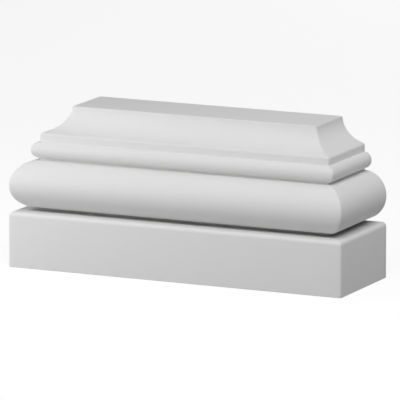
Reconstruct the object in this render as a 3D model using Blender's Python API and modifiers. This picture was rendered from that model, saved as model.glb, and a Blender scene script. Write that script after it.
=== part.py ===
"""Pilaster base: one moulded block with a plinth, a large torus, an astragal, a fillet and a scotia.

The mouldings run round the front and both sides, with mitred corners. The back is flat and stands
against the wall, and the top carries the shaft. Metres, +Z up, front towards -Y.
The origin lies on the underside, in the middle of the width and of the depth.
"""

from math import cos, dist, pi, radians, sin

import bmesh
import bpy
from mathutils import Matrix

# Overall sizes
PLINTH_WIDTH = 0.350
PLINTH_DEPTH = 0.107
PLINTH_HEIGHT = 0.0541

# Heights of the members above the plinth, from the bottom up
NECK_HEIGHT = 0.0023
TORUS_HEIGHT = 0.0468
QUIRK_HEIGHT = 0.0020
ASTRAGAL_HEIGHT = 0.0158
FILLET_HEIGHT = 0.0079
SCOTIA_HEIGHT = 0.0232
TOP_BAND_HEIGHT = 0.0014

# How far each member stands out beyond the edge of the top
PLINTH_REACH = 0.0460
CORE_REACH = 0.0232
TORUS_REACH = 0.0460
ASTRAGAL_REACH = 0.0303

# The scotia is part of an ellipse, from nearly upright under the top to nearly level at its lip
SCOTIA_START = radians(5)
SCOTIA_END = radians(76)

# Edge radii
MITRE_RADIUS = 0.0016
PLINTH_EDGE_RADIUS = 0.0045
LIP_RADIUS = 0.0022
TOP_EDGE_RADIUS = 0.0010

# Facets along each rounded member
TORUS_FACETS = 32
ASTRAGAL_FACETS = 20
SCOTIA_FACETS = 20
EDGE_FACETS = 5
MITRE_FACETS = 4

# How far an outline runs on past the block where the other outline cuts it off
CUT_MARGIN = 0.010

SHARP_EDGE_ANGLE = radians(30)
WELD_DISTANCE = 0.000001
PRIMER_COLOUR = (0.80, 0.80, 0.79, 1.0)
PRIMER_ROUGHNESS = 0.48

# Sizes that follow from those above
TOP_WIDTH = PLINTH_WIDTH - 2 * PLINTH_REACH
TOP_DEPTH = PLINTH_DEPTH - PLINTH_REACH
BACK_Y = PLINTH_DEPTH / 2
TOP_FRONT_Y = BACK_Y - TOP_DEPTH

# Turns of a flat drawing: its second axis goes upright, its thickness along Y or along X
FACING_FRONT = Matrix(((1, 0, 0, 0), (0, 0, 1, 0), (0, 1, 0, 0), (0, 0, 0, 1)))
FACING_SIDE = Matrix(((0, 0, 1, 0), (1, 0, 0, 0), (0, 1, 0, 0), (0, 0, 0, 1)))


def clear_scene():
    """Remove every object that is in the scene."""
    for item in list(bpy.data.objects):
        bpy.data.objects.remove(item, do_unlink=True)


def half_round(base_reach, full_reach, bottom, height, facets):
    """Points up a half ellipse that bulges from base_reach to full_reach."""
    points = []
    for step in range(facets + 1):
        angle = pi * (step / facets - 0.5)
        reach = base_reach + (full_reach - base_reach) * cos(angle)
        points.append((reach, bottom + height / 2 * (1 + sin(angle))))
    return points


def step_towards(start, end, distance):
    """The point that lies the given distance from start on the way to end."""
    run = (end[0] - start[0], end[1] - start[1])
    length = (run[0] ** 2 + run[1] ** 2) ** 0.5
    return (start[0] + run[0] * distance / length, start[1] + run[1] * distance / length)


def rounded_edge(before, corner, after, radius):
    """Points round a corner, on a curve that leaves both sides one radius from the corner."""
    near = step_towards(corner, before, radius)
    far = step_towards(corner, after, radius)
    points = []
    for step in range(EDGE_FACETS + 1):
        share = step / EDGE_FACETS
        weights = ((1 - share) ** 2, 2 * share * (1 - share), share ** 2)
        points.append(tuple(
            weights[0] * near[axis] + weights[1] * corner[axis] + weights[2] * far[axis]
            for axis in range(2)
        ))
    return points


def scotia(bottom, height, reach):
    """Points up the hollow moulding, from its lower lip to the top band."""
    width = reach / (cos(SCOTIA_START) - cos(SCOTIA_END))
    drop = height / (sin(SCOTIA_END) - sin(SCOTIA_START))
    top = bottom + height
    points = []
    for step in range(SCOTIA_FACETS + 1):
        angle = SCOTIA_END + (SCOTIA_START - SCOTIA_END) * step / SCOTIA_FACETS
        points.append((
            width * (cos(SCOTIA_START) - cos(angle)),
            top - drop * (sin(angle) - sin(SCOTIA_START)),
        ))
    return points


def moulding_profile():
    """Reach and height of the outline, from the underside up to the edge of the top."""
    ledge_inner = (CORE_REACH, PLINTH_HEIGHT)
    torus_bottom = PLINTH_HEIGHT + NECK_HEIGHT
    astragal_bottom = torus_bottom + TORUS_HEIGHT + QUIRK_HEIGHT
    fillet_bottom = astragal_bottom + ASTRAGAL_HEIGHT
    lip = fillet_bottom + FILLET_HEIGHT
    band_bottom = lip + SCOTIA_HEIGHT
    top = band_bottom + TOP_BAND_HEIGHT

    hollow = scotia(lip, SCOTIA_HEIGHT, CORE_REACH)
    past_lip = [point for point in hollow if dist(point, hollow[0]) > LIP_RADIUS]
    points = [(PLINTH_REACH, 0.0)]
    points += rounded_edge(
        points[0], (PLINTH_REACH, PLINTH_HEIGHT), ledge_inner, PLINTH_EDGE_RADIUS
    )
    points.append(ledge_inner)
    points += half_round(CORE_REACH, TORUS_REACH, torus_bottom, TORUS_HEIGHT, TORUS_FACETS)
    points += half_round(
        CORE_REACH, ASTRAGAL_REACH, astragal_bottom, ASTRAGAL_HEIGHT, ASTRAGAL_FACETS
    )
    points += rounded_edge((CORE_REACH, fillet_bottom), hollow[0], past_lip[0], LIP_RADIUS)
    points += past_lip
    points += rounded_edge((0.0, band_bottom), (0.0, top), (-TOP_DEPTH, top), TOP_EDGE_RADIUS)
    return points


def front_outline(profile):
    """The block seen from the front, as wide as it is at each height."""
    right = [(TOP_WIDTH / 2 + reach, height) for reach, height in profile]
    left = [(-across, height) for across, height in reversed(right)]
    return right + left


def side_outline(profile):
    """The block seen from the side, running on past its back, underside and top."""
    front = [(TOP_FRONT_Y - reach, height) for reach, height in profile]
    past_back = BACK_Y + CUT_MARGIN
    below = -CUT_MARGIN
    above = front[-1][1] + CUT_MARGIN
    return (
        [(past_back, below), (front[0][0], below)]
        + front
        + [(front[-1][0], above), (past_back, above)]
    )


def extruded_outline(name, points, near, far, turn, collection):
    """A mesh object: a flat outline drawn as a filled curve, thick from near to far, turned upright."""
    curve = bpy.data.curves.new(name, "CURVE")
    curve.dimensions = "2D"
    curve.fill_mode = "BOTH"
    curve.extrude = (far - near) / 2
    spline = curve.splines.new("POLY")
    spline.points.add(len(points) - 1)
    for slot, point in zip(spline.points, points):
        slot.co = (*point, 0.0, 1.0)
    spline.use_cyclic_u = True

    drawn = bpy.data.objects.new(name, curve)
    collection.objects.link(drawn)
    bpy.context.view_layer.update()
    data = bpy.data.meshes.new_from_object(
        drawn.evaluated_get(bpy.context.evaluated_depsgraph_get())
    )
    bpy.data.objects.remove(drawn, do_unlink=True)

    shape = bmesh.new()
    shape.from_mesh(data)
    bmesh.ops.remove_doubles(shape, verts=shape.verts, dist=WELD_DISTANCE)
    bmesh.ops.translate(shape, verts=shape.verts, vec=(0.0, 0.0, (near + far) / 2))
    bmesh.ops.transform(shape, matrix=turn, verts=shape.verts)
    bmesh.ops.recalc_face_normals(shape, faces=shape.faces)
    shape.to_mesh(data)
    shape.free()
    solid = bpy.data.objects.new(name, data)
    collection.objects.link(solid)
    return solid


def on_mitre(point):
    """Whether a point lies where the front mouldings meet the side ones."""
    side_reach = abs(point.x) - TOP_WIDTH / 2
    front_reach = TOP_FRONT_Y - point.y
    return abs(side_reach - front_reach) < WELD_DISTANCE


def mark_mitres(data):
    """Give the edges that run up the two front corners a bevel weight."""
    weights = data.attributes.new("bevel_weight_edge", "FLOAT", "EDGE")
    for edge in data.edges:
        low, high = (data.vertices[index].co for index in edge.vertices)
        climbs = on_mitre(low) and on_mitre(high) and low.x * high.x > 0
        weights.data[edge.index].value = 1.0 if climbs else 0.0


def primer_material():
    """Matt white factory primer."""
    material = bpy.data.materials.new("white_primer")
    material.use_nodes = True
    shader = material.node_tree.nodes["Principled BSDF"]
    shader.inputs["Base Color"].default_value = PRIMER_COLOUR
    shader.inputs["Roughness"].default_value = PRIMER_ROUGHNESS
    shader.inputs["Metallic"].default_value = 0.0
    return material


def new_collection(name):
    collection = bpy.data.collections.new(name)
    bpy.context.scene.collection.children.link(collection)
    return collection


def build():
    """Cut the front outline by the side outline, then soften the mitres."""
    clear_scene()
    parts = new_collection("pilaster_base_moulding")
    cutters = new_collection("cutters")

    profile = moulding_profile()
    base = extruded_outline(
        "pilaster_base", front_outline(profile), -BACK_Y - CUT_MARGIN, BACK_Y, FACING_FRONT, parts
    )
    half_length = PLINTH_WIDTH / 2 + CUT_MARGIN
    cutter = extruded_outline(
        "side_outline", side_outline(profile), -half_length, half_length, FACING_SIDE, cutters
    )
    cutter.hide_render = True
    cutter.display_type = "WIRE"

    cut = base.modifiers.new("side_shape", "BOOLEAN")
    cut.operation = "INTERSECT"
    cut.solver = "EXACT"
    cut.object = cutter
    bpy.context.view_layer.update()
    shaped = bpy.data.meshes.new_from_object(
        base.evaluated_get(bpy.context.evaluated_depsgraph_get())
    )
    base.modifiers.clear()
    base.data = shaped
    mark_mitres(shaped)

    bevel = base.modifiers.new("soft_mitres", "BEVEL")
    bevel.limit_method = "WEIGHT"
    bevel.width = MITRE_RADIUS
    bevel.segments = MITRE_FACETS
    shaped.shade_smooth()
    shaped.set_sharp_from_angle(angle=SHARP_EDGE_ANGLE)
    shaped.materials.clear()
    shaped.materials.append(primer_material())


build()
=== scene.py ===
"""Pilaster base in matt white primer, on a pale floor in soft studio light.

Metres, in the frame of the CAD model: +Z up, front towards -Y, flat back towards +Y.
"""

from math import cos, dist, pi, radians, sin

import bmesh
import bpy
from mathutils import Matrix, Vector


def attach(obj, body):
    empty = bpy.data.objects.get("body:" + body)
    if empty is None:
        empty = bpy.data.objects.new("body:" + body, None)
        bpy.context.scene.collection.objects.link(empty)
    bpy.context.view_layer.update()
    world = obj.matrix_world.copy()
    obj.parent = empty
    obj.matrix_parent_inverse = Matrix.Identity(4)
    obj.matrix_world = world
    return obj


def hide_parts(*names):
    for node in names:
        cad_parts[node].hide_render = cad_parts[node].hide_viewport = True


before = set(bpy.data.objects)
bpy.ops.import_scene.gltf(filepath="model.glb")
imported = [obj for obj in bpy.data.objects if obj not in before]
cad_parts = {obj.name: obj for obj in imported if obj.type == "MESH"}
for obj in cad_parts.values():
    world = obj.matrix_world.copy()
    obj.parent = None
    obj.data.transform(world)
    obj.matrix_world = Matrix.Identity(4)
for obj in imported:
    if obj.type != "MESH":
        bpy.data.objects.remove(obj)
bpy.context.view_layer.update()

# Overall sizes
PLINTH_WIDTH = 0.350
PLINTH_DEPTH = 0.107
PLINTH_HEIGHT = 0.0541

# Heights of the members above the plinth, from the bottom up
NECK_HEIGHT = 0.0023
TORUS_HEIGHT = 0.0468
QUIRK_HEIGHT = 0.0020
ASTRAGAL_HEIGHT = 0.0158
FILLET_HEIGHT = 0.0079
SCOTIA_HEIGHT = 0.0232
TOP_BAND_HEIGHT = 0.0014

# How far each member stands out beyond the edge of the top
PLINTH_REACH = 0.0460
CORE_REACH = 0.0232
TORUS_REACH = 0.0460
ASTRAGAL_REACH = 0.0303

# The scotia is part of an ellipse, from nearly upright under the top to nearly level at its lip
SCOTIA_START = radians(5)
SCOTIA_END = radians(76)

# Edge radii
MITRE_RADIUS = 0.0016
PLINTH_EDGE_RADIUS = 0.0045
LIP_RADIUS = 0.0022
TOP_EDGE_RADIUS = 0.0010
FOOT_EDGE_RADIUS = 0.0006
BACK_EDGE_RADIUS = 0.0006

# Steps along each rounded member and along the straight runs
TORUS_STEPS = 96
ASTRAGAL_STEPS = 56
SCOTIA_STEPS = 64
EDGE_STEPS = 8
BACK_EDGE_STEPS = 3
FRONT_STEPS = 40
SIDE_STEPS = 12
SHARP_EDGE_ANGLE = radians(30)

# Sizes that follow from those above
TOP_WIDTH = PLINTH_WIDTH - 2 * PLINTH_REACH
TOP_DEPTH = PLINTH_DEPTH - PLINTH_REACH
BACK_Y = PLINTH_DEPTH / 2
TOP_FRONT_Y = BACK_Y - TOP_DEPTH

# Camera, worked out from the photograph's edges
CAMERA_AZIMUTH = radians(25.19)
CAMERA_ELEVATION = radians(10.89)
CAMERA_DISTANCE = 5.566
CAMERA_FOCAL_LENGTH = 523.0
SENSOR_WIDTH = 36.0
CAMERA_REACH = 100.0
VIEW_CENTRE = Vector((0.0, 0.0015, 0.077))
AXIS_RIGHT_OF_CENTRE = 0.002616
AXIS_BELOW_CENTRE = 0.006546

FLOOR_SIZE = 30.0


def half_round(base_reach, full_reach, bottom, height, steps):
    """Points up a half ellipse that bulges from base_reach to full_reach."""
    points = []
    for step in range(steps + 1):
        angle = pi * (step / steps - 0.5)
        reach = base_reach + (full_reach - base_reach) * cos(angle)
        points.append((reach, bottom + height / 2 * (1 + sin(angle))))
    return points


def step_towards(start, end, distance):
    """The point that lies the given distance from start on the way to end."""
    run = (end[0] - start[0], end[1] - start[1])
    length = (run[0] ** 2 + run[1] ** 2) ** 0.5
    return (start[0] + run[0] * distance / length, start[1] + run[1] * distance / length)


def rounded_edge(before, corner, after, radius):
    """Points round a corner, on a curve that leaves both sides one radius from the corner."""
    near = step_towards(corner, before, radius)
    far = step_towards(corner, after, radius)
    points = []
    for step in range(EDGE_STEPS + 1):
        share = step / EDGE_STEPS
        weights = ((1 - share) ** 2, 2 * share * (1 - share), share ** 2)
        points.append(tuple(
            weights[0] * near[axis] + weights[1] * corner[axis] + weights[2] * far[axis]
            for axis in range(2)
        ))
    return points


def scotia(bottom, height, reach):
    """Points up the hollow moulding, from its lower lip to the top band."""
    width = reach / (cos(SCOTIA_START) - cos(SCOTIA_END))
    drop = height / (sin(SCOTIA_END) - sin(SCOTIA_START))
    top = bottom + height
    points = []
    for step in range(SCOTIA_STEPS + 1):
        angle = SCOTIA_END + (SCOTIA_START - SCOTIA_END) * step / SCOTIA_STEPS
        points.append((
            width * (cos(SCOTIA_START) - cos(angle)),
            top - drop * (sin(angle) - sin(SCOTIA_START)),
        ))
    return points


def moulding_profile():
    """Reach and height of the outline, from the underside up to the edge of the top."""
    ledge_inner = (CORE_REACH, PLINTH_HEIGHT)
    torus_bottom = PLINTH_HEIGHT + NECK_HEIGHT
    astragal_bottom = torus_bottom + TORUS_HEIGHT + QUIRK_HEIGHT
    fillet_bottom = astragal_bottom + ASTRAGAL_HEIGHT
    lip = fillet_bottom + FILLET_HEIGHT
    band_bottom = lip + SCOTIA_HEIGHT
    top = band_bottom + TOP_BAND_HEIGHT

    hollow = scotia(lip, SCOTIA_HEIGHT, CORE_REACH)
    past_lip = [point for point in hollow if dist(point, hollow[0]) > LIP_RADIUS]
    points = rounded_edge(
        (0.0, 0.0), (PLINTH_REACH, 0.0), (PLINTH_REACH, PLINTH_HEIGHT), FOOT_EDGE_RADIUS
    )
    points += rounded_edge(
        points[-1], (PLINTH_REACH, PLINTH_HEIGHT), ledge_inner, PLINTH_EDGE_RADIUS
    )
    points.append(ledge_inner)
    points += half_round(CORE_REACH, TORUS_REACH, torus_bottom, TORUS_HEIGHT, TORUS_STEPS)
    points += half_round(
        CORE_REACH, ASTRAGAL_REACH, astragal_bottom, ASTRAGAL_HEIGHT, ASTRAGAL_STEPS
    )
    points += rounded_edge((CORE_REACH, fillet_bottom), hollow[0], past_lip[0], LIP_RADIUS)
    points += past_lip
    points += rounded_edge((0.0, band_bottom), (0.0, top), (-TOP_DEPTH, top), TOP_EDGE_RADIUS)
    return points


def arc(centre, radius, start, end, steps):
    """Points of an arc in plan, both ends included. Angles are measured from +X towards +Y."""
    points = []
    for step in range(steps + 1):
        angle = start + (end - start) * step / steps
        points.append((centre[0] + radius * cos(angle), centre[1] + radius * sin(angle)))
    return points


def run_between(start, end, steps):
    """Points that divide a straight run, without its two ends."""
    return [
        tuple(start[axis] + (end[axis] - start[axis]) * step / steps for axis in range(2))
        for step in range(1, steps)
    ]


def mirrored(point):
    """The point on the other side of the middle of the width."""
    return (-point[0], point[1])


def level_ring(reach, height, top):
    """The closed outline of one level in plan, anticlockwise from the back right corner."""
    edge_distance = min(height, top - height)
    inset = BACK_EDGE_RADIUS - min(BACK_EDGE_RADIUS, edge_distance)
    back = BACK_Y - inset
    side = TOP_WIDTH / 2 + reach
    front = TOP_FRONT_Y - reach
    back_centre = (side - BACK_EDGE_RADIUS, back - BACK_EDGE_RADIUS)
    front_centre = (side - MITRE_RADIUS, front + MITRE_RADIUS)
    corners = (
        arc(back_centre, BACK_EDGE_RADIUS, 0, pi / 2, BACK_EDGE_STEPS),
        arc(mirrored(back_centre), BACK_EDGE_RADIUS, pi / 2, pi, BACK_EDGE_STEPS),
        arc(mirrored(front_centre), MITRE_RADIUS, pi, 1.5 * pi, EDGE_STEPS),
        arc(front_centre, MITRE_RADIUS, 1.5 * pi, 2 * pi, EDGE_STEPS),
    )
    steps = (FRONT_STEPS, SIDE_STEPS, FRONT_STEPS, SIDE_STEPS)
    points = []
    for index, corner in enumerate(corners):
        following = corners[(index + 1) % len(corners)]
        points += corner + run_between(corner[-1], following[0], steps[index])
    return [(x, y, height) for x, y in points]


def loft(name, rings):
    """A closed mesh through rings of equal length, with a flat face at each end."""
    shape = bmesh.new()
    levels = [[shape.verts.new(point) for point in ring] for ring in rings]
    count = len(levels[0])
    for lower, upper in zip(levels, levels[1:]):
        for index in range(count):
            after = (index + 1) % count
            shape.faces.new((lower[index], lower[after], upper[after], upper[index]))
    shape.faces.new(list(reversed(levels[0])))
    shape.faces.new(levels[-1])
    bmesh.ops.recalc_face_normals(shape, faces=shape.faces)
    data = bpy.data.meshes.new(name)
    shape.to_mesh(data)
    shape.free()
    data.shade_smooth()
    data.set_sharp_from_angle(angle=SHARP_EDGE_ANGLE)
    piece = bpy.data.objects.new(name, data)
    bpy.context.scene.collection.objects.link(piece)
    return piece


class Nodes:
    """Adds nodes to the tree of a material or world and joins them up."""

    def __init__(self, owner):
        owner.use_nodes = True
        self.tree = owner.node_tree
        self.tree.nodes.clear()

    def feed(self, socket, value):
        """Link a socket to another one, or set its value."""
        if isinstance(value, bpy.types.NodeSocket):
            self.tree.links.new(value, socket)
        else:
            socket.default_value = value

    def add(self, kind, inputs=None, **settings):
        """A node of a kind, with its settings and its input values or links by socket name."""
        node = self.tree.nodes.new(kind)
        for key, value in settings.items():
            setattr(node, key, value)
        for key, value in (inputs or {}).items():
            self.feed(node.inputs[key], value)
        return node

    def noise(self, vector, scale, detail):
        """The grey value of a noise with that many waves a metre."""
        node = self.add(
            "ShaderNodeTexNoise", {"Vector": vector, "Scale": scale, "Detail": detail}
        )
        return node.outputs["Fac"]

    def remap(self, value, low, high):
        """A value from 0 to 1 stretched to run from low to high."""
        node = self.add("ShaderNodeMapRange", {"Value": value, "To Min": low, "To Max": high})
        return node.outputs["Result"]

    def blend(self, share, first, second):
        """A colour from the first, where the share is 0, to the second, where it is 1."""
        node = self.tree.nodes.new("ShaderNodeMix")
        node.data_type = "RGBA"
        self.feed(node.inputs["Factor"], share)
        colour_a, colour_b = [socket for socket in node.inputs if socket.type == "RGBA"]
        self.feed(colour_a, first)
        self.feed(colour_b, second)
        return next(socket for socket in node.outputs if socket.type == "RGBA")

    def maths(self, operation, first, second):
        """One sum on two values."""
        node = self.add("ShaderNodeMath", {0: first, 1: second}, operation=operation)
        return node.outputs["Value"]

    def bump(self, height, distance, normal=None):
        """A normal that follows a height, with its depth in metres."""
        inputs = {"Height": height, "Distance": distance, "Strength": 1.0}
        if normal is not None:
            inputs["Normal"] = normal
        return self.add("ShaderNodeBump", inputs).outputs["Normal"]


# Colours of the sprayed primer, and of the trimmed back and underside
PRIMER_LIGHT = (0.812, 0.812, 0.810, 1.0)
PRIMER_DULL = (0.784, 0.784, 0.781, 1.0)
TRIMMED_COLOUR = (0.735, 0.730, 0.715, 1.0)
PRIMER_ROUGHNESS = (0.44, 0.56)
TRIMMED_ROUGHNESS = 0.72
SPECULAR_LEVEL = 0.5

# Painted shade in the neck recess under the torus: a dark tone that fades out between two
# distances over the ledge
NECK_PAINTED_SHADE_COLOUR = (0.42, 0.42, 0.415, 1.0)
NECK_PAINTED_SHADE_FADE = (0.003, 0.011)
NECK_MARGIN = 0.0001

# A face counts as trimmed where its normal leans this far to the back or straight down
TRIMMED_FACING = 0.9

# Noises: waves a metre and detail
CLOUDS = (11.0, 3.0)
MOTTLE = (75.0, 4.0)
SKIN = (850.0, 2.0)
GRAIN = (3200.0, 1.0)
CLOUD_SHARE = 0.65
MOTTLE_SHARE = 0.35

# Sanding marks: waves a metre along X, Y and Z, on the back and on the underside
MARKS_ON_BACK = (26.0, 26.0, 900.0)
MARKS_BELOW = (26.0, 900.0, 26.0)
MARK_DETAIL = 3.0

# Depths in metres
SKIN_DEPTH = 0.00003
GRAIN_DEPTH = 0.000012
MARK_DEPTH = 0.00005


def stretched_noise(nodes, place, stretch):
    """A noise with its own number of waves a metre along each axis."""
    stretched = nodes.add("ShaderNodeVectorMath", {0: place, 1: stretch}, operation="MULTIPLY")
    return nodes.noise(stretched.outputs["Vector"], 1.0, MARK_DETAIL)


def trimmed_faces(nodes):
    """1 on the back and 0 elsewhere, and the same for the underside."""
    normal = nodes.add("ShaderNodeNewGeometry").outputs["Normal"]
    facing = nodes.add("ShaderNodeSeparateXYZ", {"Vector": normal})
    is_back = nodes.maths("GREATER_THAN", facing.outputs["Y"], TRIMMED_FACING)
    is_below = nodes.maths("LESS_THAN", facing.outputs["Z"], -TRIMMED_FACING)
    return is_back, is_below


def sanding_marks(nodes, place, is_back, is_below):
    """Fine parallel marks along the width, on the back and on the underside alone."""
    back_marks = nodes.maths(
        "MULTIPLY", is_back, stretched_noise(nodes, place, MARKS_ON_BACK)
    )
    marks_below = nodes.maths(
        "MULTIPLY", is_below, stretched_noise(nodes, place, MARKS_BELOW)
    )
    return nodes.maths("ADD", back_marks, marks_below)


def neck_painted_shade_share(nodes, place):
    """Where shade is painted: 1 on the narrow neck above the plinth, fading to 0 over the ledge
    that the torus covers.
    """
    position = nodes.add("ShaderNodeSeparateXYZ", {"Vector": place}).outputs
    neck_side = TOP_WIDTH / 2 + CORE_REACH
    neck_front = TOP_FRONT_Y - CORE_REACH
    past_side = nodes.maths("SUBTRACT", nodes.maths("ABSOLUTE", position["X"], 0.0), neck_side)
    past_front = nodes.maths("SUBTRACT", neck_front, position["Y"])
    faded = nodes.add("ShaderNodeMapRange", {
        "Value": nodes.maths("MAXIMUM", past_side, past_front),
        "From Min": NECK_PAINTED_SHADE_FADE[0],
        "From Max": NECK_PAINTED_SHADE_FADE[1],
        "To Min": 1.0,
        "To Max": 0.0,
    }).outputs["Result"]
    over_plinth = nodes.maths("GREATER_THAN", position["Z"], PLINTH_HEIGHT - NECK_MARGIN)
    under_torus = nodes.maths("LESS_THAN", position["Z"], PLINTH_HEIGHT + NECK_HEIGHT)
    return nodes.maths("MULTIPLY", faded, nodes.maths("MULTIPLY", over_plinth, under_torus))


def primer_colour_with_painted_shade(nodes, place, mottle):
    """Cloudy white of the sprayed faces, with painted shade on the neck and on the ledge under
    the torus.
    """
    tone = nodes.maths(
        "ADD",
        nodes.remap(nodes.noise(place, *CLOUDS), 0.0, CLOUD_SHARE),
        nodes.remap(mottle, 0.0, MOTTLE_SHARE),
    )
    sprayed = nodes.blend(tone, PRIMER_DULL, PRIMER_LIGHT)
    # Painted shade: a dark tone over the neck recess and the inner ledge, where the torus casts
    # shade
    return nodes.blend(neck_painted_shade_share(nodes, place), sprayed, NECK_PAINTED_SHADE_COLOUR)


def primer_material():
    """Matt white sprayed primer, thinner over the sanded back and underside, with painted shade
    in the neck recess.
    """
    material = bpy.data.materials.new("white_primer_sprayed")
    nodes = Nodes(material)
    place = nodes.add("ShaderNodeTexCoord").outputs["Object"]
    mottle = nodes.noise(place, *MOTTLE)
    is_back, is_below = trimmed_faces(nodes)
    is_trimmed = nodes.maths("MAXIMUM", is_back, is_below)
    marks = sanding_marks(nodes, place, is_back, is_below)

    # This colour carries painted shade in the neck recess and on the inner ledge
    sprayed = primer_colour_with_painted_shade(nodes, place, mottle)
    thinned = nodes.blend(marks, TRIMMED_COLOUR, PRIMER_DULL)
    colour = nodes.blend(is_trimmed, sprayed, thinned)
    sprayed_roughness = nodes.remap(mottle, *PRIMER_ROUGHNESS)
    roughness = nodes.add("ShaderNodeMix", {
        "Factor": is_trimmed, "A": sprayed_roughness, "B": TRIMMED_ROUGHNESS,
    }).outputs["Result"]

    normal = nodes.bump(nodes.noise(place, *SKIN), SKIN_DEPTH)
    normal = nodes.bump(nodes.noise(place, *GRAIN), GRAIN_DEPTH, normal)
    normal = nodes.bump(marks, MARK_DEPTH, normal)
    shader = nodes.add("ShaderNodeBsdfPrincipled", {
        "Base Color": colour,
        "Roughness": roughness,
        "Normal": normal,
        "Specular IOR Level": SPECULAR_LEVEL,
    })
    nodes.add("ShaderNodeOutputMaterial", {"Surface": shader.outputs["BSDF"]})
    return material


FLOOR_TONES = (0.20, 0.21)
FLOOR_PATCHES = (3.0, 2.0)
FLOOR_ROUGHNESS = 0.9
FLOOR_SPECULAR_LEVEL = 0.1
FLOOR_GLOW = 0.82
WHITE = (1.0, 1.0, 1.0, 1.0)


def floor_material():
    """Pale smooth studio floor, faintly lit from within as a light table is."""
    material = bpy.data.materials.new("pale_floor")
    nodes = Nodes(material)
    place = nodes.add("ShaderNodeTexCoord").outputs["Object"]
    shader = nodes.add("ShaderNodeBsdfPrincipled", {
        "Base Color": nodes.remap(nodes.noise(place, *FLOOR_PATCHES), *FLOOR_TONES),
        "Roughness": FLOOR_ROUGHNESS,
        "Specular IOR Level": FLOOR_SPECULAR_LEVEL,
        "Emission Color": WHITE,
        "Emission Strength": FLOOR_GLOW,
    })
    nodes.add("ShaderNodeOutputMaterial", {"Surface": shader.outputs["BSDF"]})
    return material


def make_piece():
    """The moulded base, which stands for the CAD node."""
    profile = moulding_profile()
    top = profile[-1][1]
    piece = loft("moulded_base", [level_ring(reach, height, top) for reach, height in profile])
    piece.data.materials.append(primer_material())
    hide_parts("pilaster_base")
    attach(piece, "root")


def make_floor():
    """A pale floor that the camera alone sees: it gives the object no light and no reflection."""
    half = FLOOR_SIZE / 2
    data = bpy.data.meshes.new("floor")
    data.from_pydata(
        [(-half, -half, 0.0), (half, -half, 0.0), (half, half, 0.0), (-half, half, 0.0)],
        [],
        [(0, 1, 2, 3)],
    )
    data.materials.append(floor_material())
    floor = bpy.data.objects.new("floor", data)
    bpy.context.scene.collection.objects.link(floor)
    floor.visible_diffuse = False
    floor.visible_glossy = False


def camera_axes():
    """The camera's right, up and backward directions."""
    right = Vector((cos(CAMERA_AZIMUTH), sin(CAMERA_AZIMUTH), 0.0))
    backward = Vector((
        sin(CAMERA_AZIMUTH) * cos(CAMERA_ELEVATION),
        -cos(CAMERA_AZIMUTH) * cos(CAMERA_ELEVATION),
        sin(CAMERA_ELEVATION),
    ))
    return right, backward.cross(right), backward


def make_camera():
    """The camera at the photograph's angle and framing."""
    right, up, backward = camera_axes()
    target = VIEW_CENTRE + right * AXIS_RIGHT_OF_CENTRE - up * AXIS_BELOW_CENTRE
    place = target + backward * CAMERA_DISTANCE
    data = bpy.data.cameras.new("camera")
    data.lens = CAMERA_FOCAL_LENGTH
    data.sensor_fit = "HORIZONTAL"
    data.sensor_width = SENSOR_WIDTH
    data.clip_end = CAMERA_REACH
    camera = bpy.data.objects.new("camera", data)
    turn = Matrix((right, up, backward)).transposed()
    camera.matrix_world = Matrix.Translation(place) @ turn.to_4x4()
    bpy.context.scene.collection.objects.link(camera)
    bpy.context.scene.camera = camera


# Soft lights: name, azimuth from the front towards the right, elevation, distance, size, power
LIGHTS = (
    ("key", 25.0, 48.0, 2.4, 1.3, 28.4),
    ("near_left", -60.0, 8.0, 0.9, 0.45, 3.75),
    ("near_right", 80.0, 55.0, 0.9, 0.45, 0.50),
    ("near_rear_right", 115.0, 52.0, 0.9, 0.45, 0.55),
    ("rear_right", 140.0, 25.0, 2.4, 1.3, 3.2),
)

# It shows the back in views from behind. It leaves no highlight on the top
LIGHT_BEHIND = ("behind", 180.0, 2.0, 2.4, 1.3, 14.0)

# Strengths of the even light from all round
LIGHT_FROM_ABOVE = 0.29
LIGHT_FROM_BELOW = 0.392


def make_light(name, azimuth, elevation, distance, size, power):
    """A square soft light that faces the middle of the object."""
    data = bpy.data.lights.new(name, "AREA")
    data.shape = "SQUARE"
    data.size = size
    data.energy = power
    light = bpy.data.objects.new(name, data)
    outward = Vector((
        sin(radians(azimuth)) * cos(radians(elevation)),
        -cos(radians(azimuth)) * cos(radians(elevation)),
        sin(radians(elevation)),
    ))
    light.location = VIEW_CENTRE + outward * distance
    light.rotation_euler = outward.to_track_quat("Z", "Y").to_euler()
    light.visible_camera = False
    bpy.context.scene.collection.objects.link(light)
    return light


def make_world():
    """Pale light from all round, even above the horizon and even below it."""
    world = bpy.data.worlds.new("studio")
    nodes = Nodes(world)
    direction = nodes.add("ShaderNodeTexCoord").outputs["Generated"]
    height = nodes.add("ShaderNodeSeparateXYZ", {"Vector": direction}).outputs["Z"]
    is_above = nodes.maths("GREATER_THAN", height, 0.0)
    strength = nodes.remap(is_above, LIGHT_FROM_BELOW, LIGHT_FROM_ABOVE)
    background = nodes.add("ShaderNodeBackground", {"Strength": strength})
    nodes.add("ShaderNodeOutputWorld", {"Surface": background.outputs["Background"]})
    bpy.context.scene.world = world


make_piece()
make_floor()
make_world()
for light in LIGHTS:
    make_light(*light)
make_light(*LIGHT_BEHIND).visible_glossy = False
make_camera()
bpy.context.scene.view_settings.view_transform = "Standard"

bpy.context.view_layer.update()
